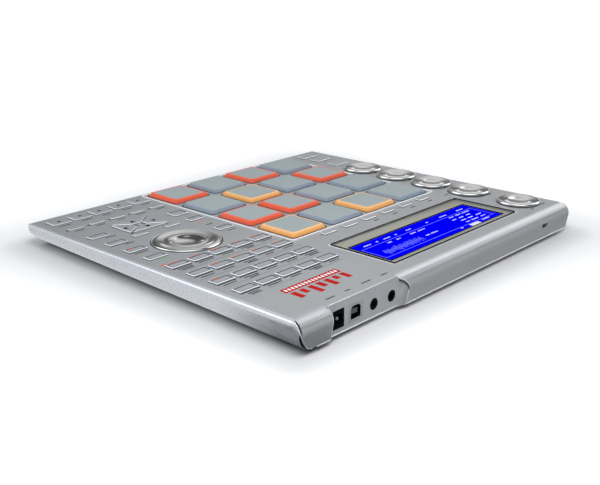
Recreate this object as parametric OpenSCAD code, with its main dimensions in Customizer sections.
// Midi pad controller: flat wedge-shaped desk unit with pads, knobs, keys, a jog wheel and a display.
// Millimetres. +X is the user's right, +Y the rear, +Z up, and the feet stand on Z = 0.
// Most pieces are drawn in the deck frame, which lies on the sloping top face: u to the right from the
// middle of the case, v to the rear from the front edge, and height above the deck.

/* [Case] */
// Width of the case over both cheeks
case_w = 292; // [288:1:320]
// Depth of the case along the deck
case_d = 250; // [248:1:280]
// Height from the tub's underside to the deck at the front edge
front_h = 14.8; // [14.4:0.1:18]
// Height from the tub's underside to the deck at the rear edge
rear_h = 20.65; // [20.4:0.05:24]
// Thickness of the deck and of the panel's bent skins
deck_t = 2; // [1.6:0.1:2.2]
// Thickness of the tub's floor
floor_t = 2; // [1.6:0.1:2.2]
// Thickness of the tub's walls
tub_wall = 2; // [1.6:0.1:2.4]
// Radius of the bend from the deck to the rear skin
rear_bend_r = 8; // [7:0.5:9]
// Radius along the top edge of the cheeks and of the front lip
edge_r = 2.5; // [1.5:0.1:3]
// Radius of the case's front corners seen from above
corner_r = 4.5; // [3:0.1:6]
// Width of the cheek's strip beside the deck
cheek_strip = 3.1; // [2.8:0.1:3.6]
// Skin thickness of the cheeks
cheek_skin = 2.5; // [2:0.1:2.8]
// How far the right cheek leans in along a straight line, from top to bottom
side_lean = 4.5; // [3:0.1:5]
// How far the right cheek curves in on top of the lean
side_curve = 5.5; // [4:0.1:6]
// How far the left cheek leans in
left_lean = 0.5; // [0:0.1:1.5]
// How far the front face leans in
front_lean = 0.8; // [0:0.1:2]
// Distance of the tub's walls from the outside of the case
tub_inset = 12.2; // [12:0.1:13]
// Height of the dark tub that shows under the cheeks
under_gap = 1.4; // [1:0.1:2]
// Distance that the cheeks end before the rear face
cheek_end = 4.6; // [4.4:0.1:5.2]
// Height of the shadow gap under the rear skin
rear_under_gap = 1.9; // [1.6:0.1:2.6]
// How far the rear skin leans in at its foot
rear_lean = 1.7; // [1:0.1:2]

/* [Pads] */
// Pads in a row and in a column
pad_count = 4; // [4:1:4]
// Distance between pad centres
pad_pitch = 38.5; // [38:0.1:40]
// Width of a pad's flat top
pad_top_w = 29.7; // [27:0.1:31]
// Width of a pad where it leaves the deck
pad_base_w = 33.1; // [32:0.1:33.4]
// Corner radius of a pad
pad_corner_r = 2.2; // [1:0.1:4]
// Height of the pads above the deck
pad_rise = 2.7; // [2:0.1:4]
// Width of the lip that holds a pad under the deck
pad_lip = 1.1; // [0.8:0.1:1.4]
// Clearance round a pad in the deck
pad_gap = 0.4; // [0.3:0.05:0.6]
// Travel of a pad
pad_travel = 1; // [0.6:0.1:1.2]
// Middle of the pad field from the left side of the case
pad_field_left = 119.5; // [119:0.5:122]
// Middle of the pad field from the front edge
pad_field_front = 82; // [81:0.5:83]

/* [Keys] */
// Width of a key in the key block
key_w = 14.8; // [13:0.1:15]
// Depth of a key in the key block
key_d = 7.4; // [6:0.1:8]
// Width of a transport key
transport_w = 14.2; // [13:0.1:15]
// Height of the keys above the deck
key_rise = 0.8; // [0.5:0.1:1.5]
// Clearance round a key in the deck
key_gap = 0.35; // [0.3:0.05:0.5]
// Width of the lip that holds a key under the deck
key_lip = 0.8; // [0.6:0.05:0.9]
// Travel of a key
key_travel = 0.8; // [0.5:0.1:0.9]
// First key column from the right side of the case
column_right = 16.1; // [16:0.1:17]
// Distance between key columns
column_pitch = 17.1; // [17:0.1:17.4]
// First row of the key block from the front edge
block_front = 138.6; // [138:0.1:140]
// Distance between the rows of the key block
row_pitch = 19; // [18:0.1:19.4]
// Depth of a transport key
transport_d = 10.8; // [9:0.1:11]
// Transport keys from the front edge
transport_front = 14.8; // [14.6:0.1:15.4]
// Width of a slim key
slim_w = 10.8; // [9:0.1:12]
// Depth of a slim key
slim_d = 3; // [2.6:0.1:3.6]
// Slim track keys from the front edge
track_front = 35.2; // [35:0.1:36]
// Width of the arrow block
arrow_block_w = 32; // [30:0.5:33]
// Depth of the arrow block
arrow_block_d = 23.2; // [22:0.1:23.6]
// Gap between the arrow keys
arrow_gap = 0.8; // [0.6:0.1:1.2]
// Arrow block's middle from the right side of the case
arrow_right = 50.1; // [49.6:0.1:50.6]
// Arrow block's middle from the front edge
arrow_front = 59.4; // [59:0.1:60]
// First page key from the right side of the case
page_right = 36.9; // [36:0.1:38]
// Depth of a page key
page_key_d = 3.4; // [2.8:0.1:4]
// Slim page keys from the front edge
page_front = 77; // [76.6:0.1:77.4]
// Distance between the two page keys
page_pitch = 26.6; // [26:0.1:28]
// Width of a key along the right edge
edge_key_w = 14; // [12:0.1:15]
// Depth of a key along the right edge
edge_key_d = 6.8; // [6:0.1:7.2]
// Rearmost key of the right edge from the front edge
edge_last_front = 117.6; // [117:0.1:118]
// Distance between the keys of the right edge
edge_pitch = 19.3; // [19:0.1:19.5]
// Width of the keys beside the pads
field_key_w = 12.6; // [11:0.1:13]
// Depth of the two rear keys beside the pads
field_key_d = 6.7; // [6:0.1:7.4]
// Depth of the front key beside the pads
field_front_key_d = 9; // [8:0.1:10]
// Middle of the keys beside the pads from the right side of the case
field_right = 84.2; // [84:0.1:84.6]
// Front key beside the pads from the front edge
field_front = 59; // [58:0.1:60]
// Middle key beside the pads from the front edge
field_middle = 76.7; // [76:0.1:77.4]
// Rear key beside the pads from the front edge
field_rear = 105.9; // [105:0.1:107]
// Width of a function key
function_w = 11.6; // [10:0.1:12]
// Depth of a function key
function_d = 4.4; // [4:0.1:4.8]
// Number of function keys
function_count = 6; // [4:1:6]
// Distance between function keys
function_pitch = 21.2; // [20:0.1:21.4]
// Rightmost function key from the left side of the case
function_left = 169.5; // [169:0.1:170]
// Function keys from the front edge
function_front = 165; // [164.6:0.1:165.4]
// Width of a key in the front left corner
corner_key_w = 15.6; // [14:0.1:16]
// Depth of a key in the front left corner
corner_key_d = 9.6; // [8:0.1:10]
// Middle of the front left corner's keys from the left side of the case
corner_left = 22; // [21.6:0.1:22.4]
// Front key of the front left corner from the front edge
corner_front = 13.6; // [13.4:0.1:14]
// Distance between the two front keys of that corner
corner_pitch = 15; // [14.6:0.1:16]
// Rear key of that corner from the front edge
corner_rear = 48.9; // [47:0.1:50]

/* [Knobs and wheel] */
// Radius of a knob's skirt
knob_r = 15.6; // [14:0.1:15.8]
// Height of a knob above the deck
knob_h = 2.3; // [2.2:0.1:4]
// Knobs' middle from the left side of the case
knob_left = 22.3; // [22:0.1:23]
// First knob from the front edge
knob_front = 76.2; // [75:0.1:77]
// Distance between the assignable knobs
knob_pitch = 34.1; // [33:0.1:34.4]
// Main knob from the rear edge
main_knob_back = 29.3; // [28.6:0.1:30]
// Radius of the knobs' shafts
knob_shaft_r = 3; // [2.5:0.1:3.2]
// Radius of the jog wheel
wheel_r = 22.6; // [21:0.1:22.8]
// Gap round the jog wheel
wheel_gap = 0.7; // [0.5:0.05:0.9]
// Height of the jog wheel above the deck
wheel_h = 1.4; // [1.4:0.1:3]
// Radius of the wheel's finger dish
wheel_dish_r = 12; // [10:0.5:13]
// Jog wheel's middle from the right side of the case
wheel_right = 49.2; // [49:0.1:50]
// Jog wheel's middle from the front edge
wheel_front = 108.5; // [108:0.1:109]
// Radius of the wheel's shaft
wheel_shaft_r = 4; // [3:0.1:4.5]
// Radial clearance of the shafts in their encoders
shaft_fit = 0.05; // [0.02:0.01:0.1]

/* [Display] */
// Width of the display's bezel
bezel_w = 141; // [140:0.5:142]
// Depth of the display's bezel
bezel_d = 50.3; // [49:0.1:51]
// Bezel's middle from the left side of the case
bezel_left = 117.5; // [117:0.1:118]
// Bezel's middle from the rear edge
bezel_back = 42.65; // [42:0.05:43]
// Width of the bezel's frame to the left of the window
frame_left = 7; // [5:0.5:9]
// Width of the bezel's frame to the right of the window
frame_right = 4; // [3:0.5:6]
// Depth of the bezel's frame in front of the window
frame_front = 11.25; // [9:0.05:13]
// Depth of the bezel's frame behind the window
frame_rear = 5.05; // [4:0.05:6]
// Width of the groove round the bezel
bezel_groove = 0.4; // [0.3:0.05:0.6]
// Depth of the bezel's face below the deck
bezel_sink = 0.5; // [0.3:0.1:0.7]
// Height of the display module
module_h = 6.6; // [5:0.1:7]

/* [Socket bay] */
// Width of the bay's flat wall
bay_w = 61; // [60.5:0.1:62]
// Bay's right end from the right side of the case
bay_right = 27.5; // [27:0.1:28]
// Width of the ramp at the bay's left end
bay_ramp = 7; // [6:0.1:8]
// Distance of the bay's wall from the rear face
bay_depth = 3.9; // [3.6:0.1:4.2]
// Width of the power socket
power_w = 9.4; // [9:0.1:10]
// Radius of the power socket's barrel hole
power_bore_r = 3.1; // [2.8:0.05:3.3]
// Width of the USB socket
usb_w = 12.1; // [12:0.1:12.4]
// Height of the square sockets
socket_h = 11; // [10.6:0.1:11.2]
// Radius of a jack's nose
jack_nose_r = 3.5; // [3:0.1:3.6]
// Radius of a jack's hole for a 3.5 mm plug
jack_bore_r = 1.8; // [1.75:0.01:1.9]
// Width of the lock slot
lock_w = 7.2; // [7:0.1:7.6]
// Height of the lock slot
lock_h = 3; // [2.8:0.1:3.4]

/* [Feet and screws] */
// Height of the feet
foot_h = 1.6; // [1:0.1:3]
// Radius of the feet
foot_r = 7; // [5:0.5:9]
// Radius of a case screw's shank
screw_r = 1.3; // [1.2:0.05:1.5]
// Length of a case screw's shank
screw_len = 8; // [6:0.5:9]

/* [Hidden] */

$fn = 64;
sliver = 0.01;
over = 1;
seat_gap = 0.05;
half_w = case_w / 2;

// Slope of the deck and place of the deck frame
tilt = atan((rear_h - front_h) / case_d);
deck_z = foot_h + front_h;

// Depth of the tub's underside below the deck, at a distance v from the front edge
function drop(v) = front_h / cos(tilt) + v * tan(tilt);
// Depth of the cheek's foot below the deck
function side_foot(v) = drop(v) - under_gap;
// How far the side skin has come in at a share t of its height, on the side that $left names
$left = false;
function lean(t) = $left ? left_lean * t : side_lean * t + side_curve * t * t;

function from_left(x) = x - half_w;
function from_right(x) = half_w - x;
function from_back(y) = case_d - y;

// Layers under the deck
lip_gap = 0.4;
lip_t = 1.2;
lip_top = -deck_t - lip_gap;
key_lip_z = lip_top - lip_t;
pad_lip_t = 1.8;
pad_lip_z = lip_top - pad_lip_t;
pad_sheet_gap = 0.4;
sheet_top = pad_lip_z - pad_travel - pad_sheet_gap;
board_t = 1.6;
mat_t = 0.8;
plunger_gap = 0.3;
plunger_d = 2.2;
plunger_h = 0.9;
mat_top = key_lip_z - key_travel - plunger_gap - plunger_h;
plunger_z = mat_top + key_travel + plunger_gap;
board_top = mat_top - mat_t;
board_z = board_top - board_t;
board_edge = 7.5;
board_front = 6.5;
board_gap = 0.5;
mat_margin = 1;
mat_side = 3;

// Cheek: ledge under the deck and its seat
ledge_t = 2;
ledge_seat = 2.4;
cheek_gap = 0.1;

// Outline steps of the leaning skins
skin_steps = 10;
front_steps = 8;
corner_steps = 8;
bend_steps = 10;
edge_steps = 5;

// Pad field
pads_u = from_left(pad_field_left);
pads_v = pad_field_front;
pad_hole_w = pad_base_w + 2 * pad_gap;
function pad_u(i) = pads_u + (i % pad_count - (pad_count - 1) / 2) * pad_pitch;
function pad_v(i) = pads_v + (floor(i / pad_count) - (pad_count - 1) / 2) * pad_pitch;
sheet_margin = 2;
sheet_w = pad_pitch * (pad_count - 1) + pad_base_w + 2 * pad_lip + 2 * sheet_margin;

// Key places: [u, v, width, depth]
columns = 5;
rows = 4;
function column_u(i) = from_right(column_right) - i * column_pitch;
transport_keys = [for (i = [0 : columns - 1]) [column_u(i), transport_front, transport_w, transport_d]];
track_key_places = [for (i = [0 : columns - 1]) [column_u(i), track_front, slim_w, slim_d]];
page_key_places = [for (i = [0 : 1]) [from_right(page_right) - i * page_pitch, page_front, slim_w, page_key_d]];
edge_key_places = [for (i = [3 : -1 : 0])
    [column_u(0), edge_last_front - i * edge_pitch, edge_key_w, edge_key_d]];
field_key_places = [
    [from_right(field_right), field_front, field_key_w, field_front_key_d],
    [from_right(field_right), field_middle, field_key_w, field_key_d],
    [from_right(field_right), field_rear, field_key_w, field_key_d]
];
function_key_places = [for (i = [0 : function_count - 1])
    [from_left(function_left) - i * function_pitch, function_front, function_w, function_d]];
corner_key_places = [for (v = [corner_front, corner_front + corner_pitch, corner_rear])
    [from_left(corner_left), v, corner_key_w, corner_key_d]];
function block_row_places(j) = [for (i = [0 : columns - 1])
    [column_u(i), block_front + j * row_pitch, key_w, key_d]];
block_places = [for (j = [0 : rows - 1], place = block_row_places(j)) place];
single_hole_keys = concat(transport_keys, track_key_places, page_key_places, edge_key_places,
    field_key_places, function_key_places, corner_key_places, block_places);
arrow_u = from_right(arrow_right);
arrow_v = arrow_front;
web_w = 2.4;
plunger_share = 1 / 3;
arrow_inner = 3;

// Knobs
knob_u = from_left(knob_left);
knob_places = [for (i = [0 : 3]) [knob_u, knob_front + i * knob_pitch]];
main_knob_place = [knob_u, from_back(main_knob_back)];
all_knob_places = concat(knob_places, [main_knob_place]);
knob_clearance = 0.35;
encoder_w = 13;
bushing_r = knob_shaft_r + 1.3;
bushing_hole_r = bushing_r + 0.3;
encoder_top = -deck_t - 0.3;
shaft_end = board_top + 0.4;
wheel_place = [from_right(wheel_right), wheel_front];
wheel_float = 0.6;
wheel_under = -deck_t - wheel_float;
wheel_encoder_w = 22;
wheel_encoder_top = wheel_under - wheel_float;

// Display
bezel_u = from_left(bezel_left);
bezel_v = from_back(bezel_back);
bezel_flange = 2;
bezel_z = -deck_t - 0.8;
window_w = bezel_w - frame_left - frame_right;
window_d = bezel_d - frame_front - frame_rear;
window_u = bezel_u + (frame_left - frame_right) / 2;
window_v = bezel_v + (frame_front - frame_rear) / 2;
lens_t = 1;
lens_top = -bezel_sink - 0.5;
lens_gap = 0.1;
cell_top = lens_top - lens_t;
module_z = bezel_z - module_h;
module_w = bezel_w - 4;
module_d = bezel_d - 3;
board_back = 14;
beside_bezel_w = case_w - bezel_left - bezel_w / 2 - bezel_flange - board_gap;
block_back = block_front + (rows - 1) * row_pitch + key_d / 2 + key_lip + mat_margin;

// Rear skin, its ends and the bay
wrap_foot = drop(case_d) - rear_under_gap;
rear_start = case_d - 2 * rear_bend_r;
wrap_end = half_w - cheek_strip;
wrap_corner_w = 13.4;
wrap_corner_h = 11;
left_corner_w = 1;
left_corner_h = 2.5;
bay_end = from_right(bay_right);
bay_start = bay_end - bay_w;
bay_v = from_back(bay_depth);
frame_gap = 0.15;
tub_front = front_lean + deck_t + 2 * frame_gap;
cheek_end_v = from_back(cheek_end);
frame_end_v = case_d - deck_t - rear_lean - frame_gap;
frame_start_v = frame_end_v - tub_wall;
frame_top = -rear_bend_r + 1.2;
corner_inset = 0.6;

// Sockets, in the bay's wall
socket_gap = 0.1;
socket_base = -15.8;
socket_axis = socket_base + socket_h / 2;
power_in = 8.9;
usb_in = 23.6;
jack_in_in = 39.8;
jack_out_in = 56.2;
power_u = bay_end - power_in;
usb_u = bay_end - usb_in;
jack_in_u = bay_end - jack_in_in;
jack_out_u = bay_end - jack_out_in;
jack_axis = -11;
jack_wall_gap = 0.2;
main_board_t = 1.6;
main_board_w = 162;
main_board_d = 29.6;
main_board_in = 77.5;
main_board_back = 21.6;
main_board_u = bay_end - main_board_in;
main_board_v = from_back(main_board_back);
lock_left = 35.1;
lock_u = from_left(lock_left);
lock_z = -9;

// Case screws and feet
screw_left = 36.7;
screw_right = 24.5;
screw_back = 14;
screw_front = 20;
screw_mid = 127.5;
screw_front_right = 27;
screw_rear_corner = [17.6, 25];
screw_mid_back = 60;
screw_mid_shift = 13;
screw_mid_u = pads_u + sheet_w / 2 + 11;
screw_places = [
    [from_left(screw_left), screw_front], [from_left(screw_left), screw_mid],
    [from_left(screw_left), from_back(screw_back)], [screw_mid_u, screw_front_right],
    [from_right(screw_right), screw_front_right], [from_right(screw_right), screw_mid],
    [screw_mid_u - screw_mid_shift, from_back(screw_mid_back)],
    [from_right(screw_rear_corner[0]), from_back(screw_rear_corner[1])]
];
post_r = 3.1;
post_fit = 0.05;
floor_boss_r = 4.4;
floor_boss_h = 1.5;
screw_head_r = 2.7;
screw_head_h = 1.2;
screw_sink = 1.3;
screw_gap = 0.3;
screw_end_gap = 0.6;
post_gap = 0.2;
foot_in_x = 28;
foot_in_y = 26;

silver = [0.66, 0.67, 0.68];
bright_silver = [0.78, 0.79, 0.81];
chrome_grey = [0.8, 0.8, 0.8];
board_green = [0.1, 0.35, 0.2];
dark_grey = [0.12, 0.12, 0.13];

// Places children in the deck frame
module on_deck() {
    translate([0, -case_d / 2, deck_z]) rotate([tilt, 0, 0]) children();
}

// Rounded rectangle, centred
module rounded_rect(w, d, r) {
    square([w - 2 * r, d], center = true);
    square([w, d - 2 * r], center = true);
    for (x = [-1, 1], y = [-1, 1]) translate([x * (w / 2 - r), y * (d / 2 - r)]) circle(r = r);
}

// Box centred on a point of the deck, between two heights
module deck_box(u, v, w, d, z0, z1) {
    translate([u - w / 2, v - d / 2, z0]) cube([w, d, z1 - z0]);
}

// Outline across the case extruded along u: the polygon's axes are v and height
module along_u(u0, u1) {
    translate([u0, 0, 0]) rotate([90, 0, 90]) linear_extrude(u1 - u0) children();
}

// Outline in u and height extruded to the rear from v0 to v1
module along_v(v0, v1) {
    translate([0, v1, 0]) rotate([90, 0, 0]) linear_extrude(v1 - v0) children();
}

// Key cap with its lip under the deck and the plunger over its switch
module key_cap(place) {
    u = place[0];
    v = place[1];
    w = place[2];
    d = place[3];
    deck_box(u, v, w, d, key_lip_z, key_rise);
    deck_box(u, v, w + 2 * key_lip, d + 2 * key_lip, key_lip_z, lip_top);
    deck_box(u, v, w * plunger_share, plunger_d, plunger_z, key_lip_z);
}

// Row or column of caps moulded on one carrier strip
module key_bank(places) {
    first = places[0];
    last = places[len(places) - 1];
    for (place = places) key_cap(place);
    if (abs(last[0] - first[0]) > abs(last[1] - first[1]))
        deck_box((first[0] + last[0]) / 2, first[1], abs(last[0] - first[0]), web_w, key_lip_z, lip_top);
    else
        deck_box(first[0], (first[1] + last[1]) / 2, web_w, abs(last[1] - first[1]), key_lip_z, lip_top);
}

// One arrow key: a wedge of the block, on the side that the angle gives
module arrow_key(angle, reach, half_span, inner) {
    out = reach - key_gap;
    span = half_span - key_gap;
    translate([arrow_u, arrow_v, 0]) rotate([0, 0, angle]) {
        translate([0, 0, key_lip_z]) linear_extrude(key_rise - key_lip_z)
            polygon([[out, -span], [out, span], [inner, inner * arrow_slant(reach, half_span)],
                [inner, -inner * arrow_slant(reach, half_span)]]);
        translate([out - web_w, -span / 2, key_lip_z]) cube([web_w + key_lip, span, lip_t]);
        translate([(out + inner) / 2 - plunger_d, -plunger_d / 2, plunger_z])
            cube([2 * plunger_d, plunger_d, key_lip_z - plunger_z + sliver]);
    }
}
function arrow_slant(reach, half_span) = half_span / reach;

// Leaning outer side of the case: points in u and height at a distance v from the front edge
function side_points(v, inset) = [for (k = [0 : skin_steps])
    let (t = k / skin_steps)
        [half_w - inset - lean(t), -edge_r - t * (side_foot(v) - edge_r)]];
function edge_points(centre_x, centre_z, r, steps) = [for (k = [0 : steps - 1])
    let (a = 90 - 90 * k / steps) [centre_x + r * cos(a), centre_z + r * sin(a)]];

// Thin slice of the cheek's full section
module cheek_slice(v) {
    along_v(v, v + sliver)
        polygon(concat([[wrap_end - ledge_seat, 0]],
            edge_points(half_w - edge_r, -edge_r, edge_r, edge_steps),
            side_points(v, 0),
            [[half_w - tub_inset + cheek_gap, -side_foot(v)]]));
}

// Thin slice of the hollow behind the cheek's skin
module cheek_hollow_slice(v) {
    hollow_top = -deck_t - ledge_t;
    hollow_foot = side_foot(v) - cheek_skin;
    along_v(v, v + sliver)
        polygon(concat([[half_w - 2 * tub_inset, hollow_top]],
            [for (p = side_points(v, cheek_skin)) if (p[1] < hollow_top && p[1] > -hollow_foot) p],
            [[half_w - cheek_skin - side_at(v, hollow_foot), -hollow_foot],
                [half_w - 2 * tub_inset, -hollow_foot]]));
}
function side_at(v, depth) = lean((depth - edge_r) / (side_foot(v) - edge_r));

// Section of the front lip, moved in by inset: points in v and height
front_foot = side_foot(0);
function front_points(inset) = concat(
    [for (p = edge_points(-edge_r, -edge_r, edge_r - inset, edge_steps)) [-p[0], p[1]]], front_face_points(inset));
function front_face_points(inset) = [for (k = [0 : front_steps]) let (t = k / front_steps)
    [front_lean * t + inset, -edge_r - t * (front_foot - edge_r)]];

// Solid behind the front face and under the rear bend, for trimming the cheeks to them
module case_profile() {
    bend_v = case_d - rear_bend_r;
    along_u(-half_w - over, half_w + over)
        polygon(concat([[bend_v, 0], [edge_r, 0]], front_points(0),
            [[front_lean, -rear_h - over], [case_d, -rear_h - over]],
            [for (k = [bend_steps : -1 : 1]) let (a = 90 * k / bend_steps)
                [bend_v + rear_bend_r * sin(a), -rear_bend_r + rear_bend_r * cos(a)]]));
}

// Whole height of the case inside its rounded front corners
module corner_prism() {
    translate([0, case_d, -rear_h - over]) linear_extrude(rear_h + 2 * over)
        rounded_rect(case_w, 2 * case_d, corner_r);
}

// Skin of the front face, its ends leaning like the sides. To cut its seat in the cheeks it is grown by g
// and reaches further down.
module front_lip(g = 0, down = 0) {
    lip_back = front_lean + deck_t + g;
    lip_foot = -front_foot - down;
    far = lip_back + over;
    intersection() {
        along_u(-wrap_end - g, wrap_end + g) difference() {
            polygon(concat([[edge_r + over, g]], front_points(-g), down > 0 ? [[front_lean - g, lip_foot]] : [],
                [[lip_back, lip_foot], [lip_back, -deck_t - g], [edge_r + over, -deck_t - g]]));
            polygon(concat([[far, -deck_t - g], [edge_r + deck_t, -deck_t - g]],
                [for (p = front_points(deck_t + g)) if (p[1] < -deck_t - g) p],
                [[lip_back, lip_foot - over], [far, lip_foot - over]]));
        }
        along_v(-over, far) {
            lip_end(g, down);
            mirror([1, 0]) lip_end(g, down, $left = true);
        }
    }
}

// Half of the front skin's outline seen from the front
module lip_end(g, down) {
    end_points = side_points(0, cheek_strip - g);
    polygon(concat([[-over, over], [wrap_end + g, over]], end_points,
        down > 0 ? [[end_points[skin_steps][0], -front_foot - down]] : [], [[-over, -front_foot - down]]));
}

// Region under the rear skin, moved in by inset: axes v and height
module wrap_region(inset, foot) {
    bend_v = case_d - rear_bend_r;
    translate([bend_v, -rear_bend_r]) circle(r = rear_bend_r - inset);
    polygon([[bend_v - rear_bend_r, -inset], [bend_v, -inset], [bend_v, -rear_bend_r],
        [case_d - inset, -rear_bend_r], [case_d - inset - rear_lean, -foot], [bend_v - rear_bend_r, -foot]]);
}

// Outline of the rear skin seen from behind: the right lower corner is rounded far, the left one a little,
// and the left end covers the cheek
module wrap_face() {
    left = concat(edge_points(half_w - edge_r, -edge_r, edge_r, edge_steps),
        wrap_corner(half_w, left_corner_w, left_corner_h));
    polygon(concat([[wrap_end, over]], wrap_corner(wrap_end, wrap_corner_w, wrap_corner_h),
        [for (k = [len(left) - 1 : -1 : 0]) [-left[k][0], left[k][1]]], [[-half_w + edge_r, over]]));
}
function wrap_corner(end, w, h) = [for (k = [0 : corner_steps]) let (a = 90 * k / corner_steps)
    [end - w * (1 - cos(a)), -(wrap_foot - h) - h * sin(a)]];

module rear_skin() {
    intersection() {
        difference() {
            along_u(-half_w, wrap_end) wrap_region(0, wrap_foot);
            along_u(-case_w, case_w) wrap_region(deck_t, wrap_foot + over);
            translate([-half_w - over, 0, -rear_h - over])
                cube([half_w + over - wrap_end, cheek_end_v + 2 * frame_gap, rear_h + 2 * over]);
        }
        along_v(rear_start, case_d + over) wrap_face();
    }
}

// Plan of the bay's cut in the rear bend
module bay_plan() {
    polygon([[bay_end, bay_v - rear_bend_r], [bay_end, case_d + over], [bay_start - bay_ramp, case_d + over],
        [bay_start - bay_ramp, case_d - sliver], [bay_start, bay_v], [bay_start, bay_v - rear_bend_r]]);
}

// Skins that close the bay: its wall, its ramp, its right end and the deck above it
module bay_skin() {
    intersection() {
        translate([0, 0, -wrap_foot]) linear_extrude(wrap_foot)
            polygon([[bay_end + deck_t, bay_v - deck_t], [bay_end + deck_t, case_d + over],
                [bay_end, case_d + over], [bay_end, bay_v], [bay_start, bay_v],
                [bay_start - bay_ramp, case_d], [bay_start - bay_ramp - deck_t, case_d],
                [bay_start - 1, bay_v - deck_t]]);
        union() {
            along_u(bay_start - bay_ramp - 2 * deck_t, bay_end + 2 * deck_t) wrap_region(0, wrap_foot);
            deck_box((bay_start + bay_end) / 2, bay_v - deck_t, bay_w, 2 * deck_t, -wrap_foot, 0);
        }
    }
    deck_box((bay_start + bay_end) / 2, bay_v - rear_bend_r / 2, bay_w, rear_bend_r, -deck_t, 0);
}

module socket_holes() {
    along_v(bay_v - 2 * deck_t, bay_v + over) {
        for (socket = [[power_u, power_w], [usb_u, usb_w]]) translate([socket[0], socket_axis])
            square([socket[1] + 2 * socket_gap, socket_h + 2 * socket_gap], center = true);
        for (u = [jack_in_u, jack_out_u]) translate([u, jack_axis]) circle(r = jack_nose_r + socket_gap);
    }
}

module deck_holes() {
    for (i = [0 : pad_count * pad_count - 1]) translate([pad_u(i), pad_v(i)])
        rounded_rect(pad_hole_w, pad_hole_w, pad_corner_r + pad_gap);
    for (place = single_hole_keys) translate([place[0], place[1]])
        square([place[2] + 2 * key_gap, place[3] + 2 * key_gap], center = true);
    translate([arrow_u, arrow_v]) square([arrow_block_w, arrow_block_d], center = true);
    for (place = all_knob_places) translate(place) circle(r = bushing_hole_r);
    translate(wheel_place) circle(r = wheel_r + wheel_gap);
    translate([bezel_u, bezel_v]) square([bezel_w, bezel_d], center = true);
}

// Posts for the case screws, from the deck to the tub's floor
module screw_posts() {
    for (place = screw_places) {
        foot = drop(place[1]) - floor_t - floor_boss_h - post_gap;
        translate([place[0], place[1], -foot]) cylinder(r = post_r, h = foot - deck_t + sliver);
    }
}

module top_panel() {
    color(silver) on_deck() difference() {
        union() {
            translate([0, 0, -deck_t]) linear_extrude(deck_t) difference() {
                translate([-wrap_end, edge_r + over]) square([2 * wrap_end, rear_start - edge_r - over]);
                deck_holes();
            }
            intersection() {
                front_lip();
                corner_prism();
            }
            difference() {
                rear_skin();
                translate([0, 0, -rear_h - over]) linear_extrude(rear_h + 2 * over) bay_plan();
                translate([0, 0, -deck_t - over]) linear_extrude(deck_t + 2 * over) deck_holes();
            }
            bay_skin();
            screw_posts();
        }
        socket_holes();
        along_v(case_d - 2 * deck_t, case_d + over) translate([lock_u, lock_z])
            square([lock_w, lock_h], center = true);
        for (place = screw_places) translate([place[0], place[1], -drop(place[1])])
            cylinder(r = screw_r + post_fit, h = drop(place[1]) - deck_t - screw_end_gap);
    }
}

module cheek() {
    difference() {
        intersection() {
            hull() {
                cheek_slice(0);
                cheek_slice(cheek_end_v - sliver);
            }
            case_profile();
            corner_prism();
        }
        intersection() {
            hull() {
                cheek_hollow_slice(0);
                cheek_hollow_slice(cheek_end_v + over);
            }
            along_u(0, half_w) polygon(concat([[case_d, 0], [cheek_skin, 0]], front_face_points(cheek_skin),
                [[front_lean + cheek_skin, -rear_h], [case_d, -rear_h]]));
        }
        translate([0, -over, -deck_t - seat_gap]) cube([wrap_end + seat_gap, case_d + 2 * over, deck_t + 2 * over]);
        along_u(0, wrap_end + seat_gap) difference() {
            translate([case_d - rear_bend_r, -rear_bend_r]) square(rear_bend_r + over);
            translate([case_d - rear_bend_r, -rear_bend_r]) circle(r = rear_bend_r - deck_t - seat_gap);
        }
        front_lip(cheek_gap, over);
    }
}

module right_cheek() {
    color(bright_silver) on_deck() cheek();
}

module left_cheek() {
    color(bright_silver) on_deck() mirror([1, 0, 0]) cheek($left = true);
}

// Floor, low walls, bosses and rear frame of the tub
module base_tub() {
    half = half_w - tub_inset;
    wall_top = board_z - seat_gap;
    bay_floor_v = bay_v - deck_t - frame_gap;
    color(dark_grey) on_deck() difference() {
        union() {
            difference() {
                along_u(-half, half) polygon([[tub_front, wall_top], [tub_front, -drop(tub_front)],
                    [frame_end_v, -drop(frame_end_v)], [frame_end_v, frame_top], [frame_start_v, frame_top],
                    [frame_start_v, wall_top]]);
                along_u(-half + tub_wall, half - tub_wall) polygon([[tub_front + tub_wall, over],
                    [tub_front + tub_wall, -drop(tub_front + tub_wall) + floor_t],
                    [frame_start_v, -drop(frame_start_v) + floor_t], [frame_start_v, over]]);
                deck_box((bay_start + bay_end - bay_ramp) / 2, case_d,
                    bay_w + bay_ramp + 2 * deck_t + 2 * frame_gap, 2 * (case_d - bay_floor_v),
                    -rear_h - over, over);
            }
            tub_corner();
            mirror([1, 0, 0]) tub_corner($left = true);
            for (place = screw_places) translate([place[0], place[1], -drop(place[1]) + floor_t / 2])
                cylinder(r = floor_boss_r, h = floor_t / 2 + floor_boss_h);
            board_bosses();
        }
        for (place = screw_places) translate([place[0], place[1], -drop(place[1]) - over]) {
            cylinder(r = screw_r + screw_gap, h = floor_t + floor_boss_h + 2 * over);
            cylinder(r = screw_head_r + screw_gap, h = screw_sink + over);
        }
    }
}

// Dark plate that closes the gap between a cheek's end and the rear skin
module tub_corner() {
    corner_in = half_w - tub_inset - 2 * tub_wall;
    plate_v = cheek_end_v + frame_gap;
    foot = -side_foot(cheek_end_v);
    intersection() {
        along_v(plate_v, from_back(deck_t + frame_gap)) polygon(concat([[corner_in, foot], [corner_in, -deck_t]],
            [[half_w - corner_inset - edge_r, -deck_t]], side_points(cheek_end_v, corner_inset)));
        union() {
            along_u(0, half_w) wrap_region(deck_t + frame_gap, -foot + sliver);
            if (!$left) along_u(wrap_end + frame_gap, half_w) wrap_region(corner_inset, -foot + sliver);
        }
    }
}

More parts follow.
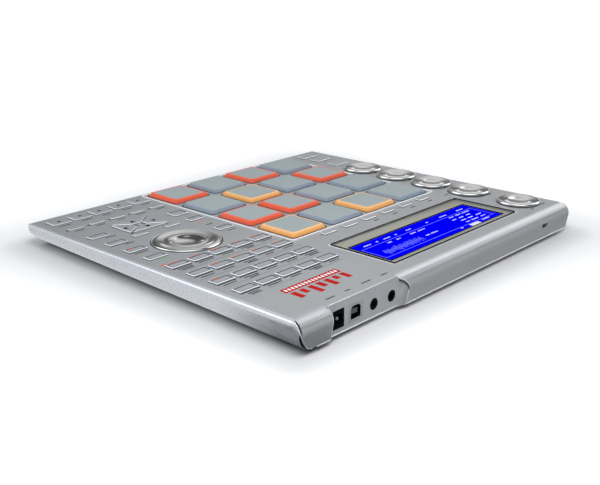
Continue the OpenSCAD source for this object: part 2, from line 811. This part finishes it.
// Bosses that carry the two circuit boards
board_boss_r = 3;
boss_side = 16;
boss_front = board_front + 3 * board_boss_r;
left_boss_rows = [60, 200];
right_boss_rows = [46, 128, 196];
middle_boss_rows = [40, 130];
middle_boss_in = 20;
main_boss_in = 10;
main_boss_shift = 8;
key_boss_places = concat(
    [for (v = left_boss_rows) [from_left(boss_side), v]],
    [for (v = right_boss_rows) [from_right(boss_side), v]],
    [for (v = middle_boss_rows) [pads_u + sheet_w / 2 + middle_boss_in, v]],
    [for (u = [knob_u + 2 * pad_pitch, pads_u]) [u, boss_front]]);
main_boss_places = [for (side = [-1, 1])
    [main_board_u + side * (main_board_w / 2 - main_boss_in), main_board_v - main_boss_shift]];
main_board_top = socket_base;
main_board_z = main_board_top - main_board_t;

module board_bosses() {
    for (place = key_boss_places) boss(place, board_z - seat_gap);
    for (place = main_boss_places) boss(place, main_board_z - seat_gap);
}

module boss(place, top) {
    foot = drop(place[1]) - floor_t / 2;
    translate([place[0], place[1], -foot]) cylinder(r = board_boss_r, h = foot + top);
}

// Pad: flaring lit rim above the deck, straight body in its hole, lip under the deck
module pad(i) {
    color([0.62, 0.68, 0.7]) on_deck() translate([pad_u(i), pad_v(i), 0]) {
        hull() {
            translate([0, 0, pad_rise - sliver]) linear_extrude(sliver)
                rounded_rect(pad_top_w, pad_top_w, pad_corner_r, $fn = 32);
            linear_extrude(sliver) rounded_rect(pad_base_w, pad_base_w, pad_corner_r, $fn = 32);
        }
        translate([0, 0, pad_lip_z]) linear_extrude(-pad_lip_z + sliver / 2)
            rounded_rect(pad_base_w, pad_base_w, pad_corner_r, $fn = 32);
        translate([0, 0, pad_lip_z]) linear_extrude(pad_lip_t)
            rounded_rect(pad_base_w + 2 * pad_lip, pad_base_w + 2 * pad_lip, pad_corner_r, $fn = 32);
    }
}

// Knob: dished face, raised rim, stepped skirt and a shaft
module knob(place) {
    rim_r = knob_r - 1.6;
    skirt_h = 0.85;
    dish_z = knob_h - 1.5;
    color(chrome_grey) on_deck() translate([place[0], place[1], 0]) rotate_extrude($fn = 96)
        polygon([[0, shaft_end], [knob_shaft_r, shaft_end], [knob_shaft_r, knob_clearance],
            [knob_r, knob_clearance], [knob_r, skirt_h - 0.2], [knob_r - 0.4, skirt_h],
            [rim_r + 0.1, skirt_h + 0.1],
            [rim_r, knob_h - 0.9], [rim_r - 0.3, knob_h - 0.3], [rim_r - 1, knob_h], [rim_r - 2, knob_h - 0.1],
            [rim_r - 3.4, knob_h - 0.7], [rim_r - 5.6, dish_z + 0.3], [rim_r - 8.4, dish_z + 0.1], [0, dish_z]]);
}

module jog_wheel() {
    ring_r = wheel_dish_r;
    color(chrome_grey) on_deck() translate(concat(wheel_place, [0])) rotate_extrude($fn = 128)
        polygon([[0, shaft_end], [wheel_shaft_r, shaft_end], [wheel_shaft_r, wheel_under],
            [wheel_r - 0.6, wheel_under],
            [wheel_r, wheel_under + 0.6], [wheel_r, wheel_h - 1.3], [wheel_r - 0.4, wheel_h - 0.5],
            [wheel_r - 1.2, wheel_h], [wheel_r - 2.2, wheel_h - 0.1], [wheel_r - 3.6, wheel_h - 0.8],
            [ring_r + 4, wheel_h - 1.3], [ring_r + 1.6, wheel_h - 1], [ring_r + 0.4, wheel_h - 0.5],
            [ring_r - 0.4, wheel_h - 0.5], [ring_r - 1.6, wheel_h - 1.1], [ring_r - 5, wheel_h - 1.9],
            [0, wheel_h - 2.2]]);
}

module transport_key(i) {
    color(silver) on_deck() key_cap(transport_keys[i]);
}

module arrow_side_key(angle) {
    color(silver) on_deck()
        arrow_key(angle, arrow_block_w / 2, arrow_block_d / 2 - arrow_gap, arrow_inner + arrow_gap);
}
module arrow_fore_key(angle) {
    color(silver) on_deck() arrow_key(angle, arrow_block_d / 2, arrow_block_w / 2 - 2 * arrow_gap, arrow_inner);
}

module bank(places) {
    color(silver) on_deck() key_bank(places);
}

module display_bezel() {
    color([0.55, 0.55, 0.5]) on_deck() difference() {
        union() {
            deck_box(bezel_u, bezel_v, bezel_w - 2 * bezel_groove, bezel_d - 2 * bezel_groove,
                bezel_z, -bezel_sink);
            deck_box(bezel_u, bezel_v, bezel_w + 2 * bezel_flange, bezel_d + 2 * bezel_flange,
                bezel_z, -deck_t - seat_gap);
        }
        deck_box(window_u, window_v, window_w, window_d, bezel_z - over, over);
    }
}

module display_lens() {
    color([0.2, 0.3, 1, 0.5]) on_deck()
        deck_box(window_u, window_v, window_w - 2 * lens_gap, window_d - 2 * lens_gap, cell_top, lens_top);
}

module display_module() {
    color([0, 0, 0.9]) on_deck() {
        deck_box(bezel_u, bezel_v, module_w, module_d, module_z, bezel_z);
        deck_box(window_u, window_v, window_w - 4 * lens_gap, window_d - 4 * lens_gap, bezel_z - sliver, cell_top);
    }
}

// Circuit board under the deck, open where the display and the posts pass
module key_board() {
    field_back = bezel_v - bezel_d / 2 - bezel_flange - board_gap;
    left_strip_w = 2 * knob_left - 2 * board_edge;
    right_strip_w = beside_bezel_w - board_edge;
    color(board_green) on_deck() translate([0, 0, board_z]) linear_extrude(board_t) difference() {
        union() {
            translate([-half_w + board_edge, board_front]) {
                square([case_w - 2 * board_edge, field_back - board_front]);
                square([left_strip_w, from_back(board_back) - board_front]);
            }
            translate([half_w - beside_bezel_w, board_front]) square([right_strip_w, block_back - board_front]);
        }
        for (place = screw_places) translate(place) circle(r = post_r + board_gap);
        translate([bezel_u, bezel_v]) square([bezel_w + 2 * bezel_flange + 2 * board_gap,
            bezel_d + 2 * bezel_flange + 2 * board_gap], center = true);
    }
}

// Rubber mat over the key board's switches
module switch_mat() {
    strip_start = pads_u + sheet_w / 2 + board_gap;
    function_u = from_left(function_left);
    function_start = function_u - (function_count - 1) * function_pitch - function_w;
    color([0.3, 0.3, 0.32]) on_deck() translate([0, 0, board_top]) linear_extrude(mat_t) difference() {
        union() {
            translate([strip_start, board_front + mat_margin])
                square([from_right(board_edge + mat_margin) - strip_start,
                    block_back - board_front - 2 * mat_margin]);
            translate([from_left(board_edge + mat_side), board_front + mat_margin])
                square([corner_key_w + 2 * mat_side, corner_rear + corner_key_d / 2 + mat_margin - board_front]);
            translate([function_start, function_front - function_d / 2 - mat_margin])
                square([from_right(board_edge + mat_side) - function_start, function_d + 2 * mat_margin]);
        }
        for (place = screw_places) translate(place) circle(r = post_r + board_gap);
        translate(wheel_place) square(wheel_encoder_w + 2 * board_gap, center = true);
    }
}

module pad_sensor_sheet() {
    color([0.7, 0.6, 0.3]) on_deck() deck_box(pads_u, pads_v, sheet_w, sheet_w, board_top, sheet_top);
}

module knob_encoders() {
    color([0.5, 0.5, 0.52]) on_deck() for (place = all_knob_places) translate([place[0], place[1], board_top])
        difference() {
            union() {
                translate([-encoder_w / 2, -encoder_w / 2, 0])
                    cube([encoder_w, encoder_w, encoder_top - board_top]);
                cylinder(r = bushing_r, h = -board_top);
            }
            translate([0, 0, -over]) cylinder(r = knob_shaft_r + shaft_fit, h = over - board_top + over);
        }
}

module wheel_encoder() {
    color([0.5, 0.5, 0.52]) on_deck() translate([wheel_place[0], wheel_place[1], board_top]) difference() {
        translate([-wheel_encoder_w / 2, -wheel_encoder_w / 2, 0])
            cube([wheel_encoder_w, wheel_encoder_w, wheel_encoder_top - board_top]);
        translate([0, 0, -over]) cylinder(r = wheel_shaft_r + shaft_fit, h = 2 * over - board_top);
    }
}

module main_board() {
    color(board_green) on_deck()
        deck_box(main_board_u, main_board_v, main_board_w, main_board_d, main_board_z, main_board_top);
}

module power_socket() {
    body_d = 14;
    bore_d = 10;
    color(dark_grey) on_deck() translate([power_u, bay_v, 0]) {
        difference() {
            translate([-power_w / 2, -body_d, socket_base]) cube([power_w, body_d, socket_h]);
            translate([0, over, socket_axis]) rotate([90, 0, 0]) cylinder(r = power_bore_r, h = bore_d + over);
        }
        translate([0, -1, socket_axis]) rotate([90, 0, 0]) cylinder(r = 1, h = bore_d - 1 + sliver);
    }
}

module usb_socket() {
    body_d = 16;
    cavity_w = 8.4;
    cavity_h = 7.7;
    cavity_d = 12;
    chamfer = 1.6;
    color([0.75, 0.75, 0.75]) on_deck() translate([usb_u, bay_v, 0]) {
        difference() {
            translate([-usb_w / 2, -body_d, socket_base]) cube([usb_w, body_d, socket_h]);
            along_v(-cavity_d, over) translate([0, socket_axis])
                polygon([[-cavity_w / 2, -cavity_h / 2], [cavity_w / 2, -cavity_h / 2],
                    [cavity_w / 2, cavity_h / 2 - chamfer], [cavity_w / 2 - chamfer, cavity_h / 2],
                    [-cavity_w / 2 + chamfer, cavity_h / 2], [-cavity_w / 2, cavity_h / 2 - chamfer]]);
        }
        translate([-2.8, -cavity_d - sliver, socket_axis - 1.5]) cube([5.6, cavity_d - 1.2, 3.1]);
    }
}

// Jack for a 3.5 mm plug, its nose in the bay's wall
module jack(u) {
    body_w = 11;
    body_d = 12;
    body_top = jack_axis + 4.6;
    color(dark_grey) on_deck() translate([u, bay_v, 0]) difference() {
        union() {
            translate([-body_w / 2, -deck_t - jack_wall_gap - body_d, socket_base])
                cube([body_w, body_d, body_top - socket_base]);
            translate([0, 0, jack_axis]) rotate([90, 0, 0]) cylinder(r = jack_nose_r, h = deck_t + 1);
        }
        translate([0, over, jack_axis]) rotate([90, 0, 0]) cylinder(r = jack_bore_r, h = body_d + over);
    }
}

module feet() {
    color(dark_grey) for (x = [-1, 1], y = [-1, 1])
        translate([x * (half_w - foot_in_x), y * (case_d / 2 - foot_in_y), 0]) cylinder(r = foot_r, h = foot_h);
}

module case_screws() {
    color([0.3, 0.3, 0.3]) on_deck() for (place = screw_places)
        translate([place[0], place[1], -drop(place[1]) + screw_sink - screw_head_h]) {
            cylinder(r = screw_head_r, h = screw_head_h);
            cylinder(r = screw_r, h = screw_len);
        }
}

top_panel();
right_cheek();
left_cheek();
base_tub();
for (i = [0 : pad_count * pad_count - 1]) pad(i);
for (i = [0 : 3]) knob(knob_places[i]);
knob(main_knob_place);  // main_knob
jog_wheel();
arrow_side_key(0);  // arrow_right_key
arrow_fore_key(90);  // arrow_up_key
arrow_side_key(180);  // arrow_left_key
arrow_fore_key(270);  // arrow_down_key
for (i = [0 : columns - 1]) transport_key(i);
bank(track_key_places);  // track_keys
bank(page_key_places);  // page_keys
bank(edge_key_places);  // edge_keys
bank(field_key_places);  // field_keys
bank(function_key_places);  // function_keys
bank(corner_key_places);  // corner_keys
for (j = [0 : rows - 1]) bank(block_row_places(j));
display_bezel();
display_lens();
display_module();
key_board();
switch_mat();
pad_sensor_sheet();
knob_encoders();
wheel_encoder();
main_board();
power_socket();
usb_socket();
jack(jack_in_u);  // midi_in_jack
jack(jack_out_u);  // midi_out_jack
feet();
case_screws();
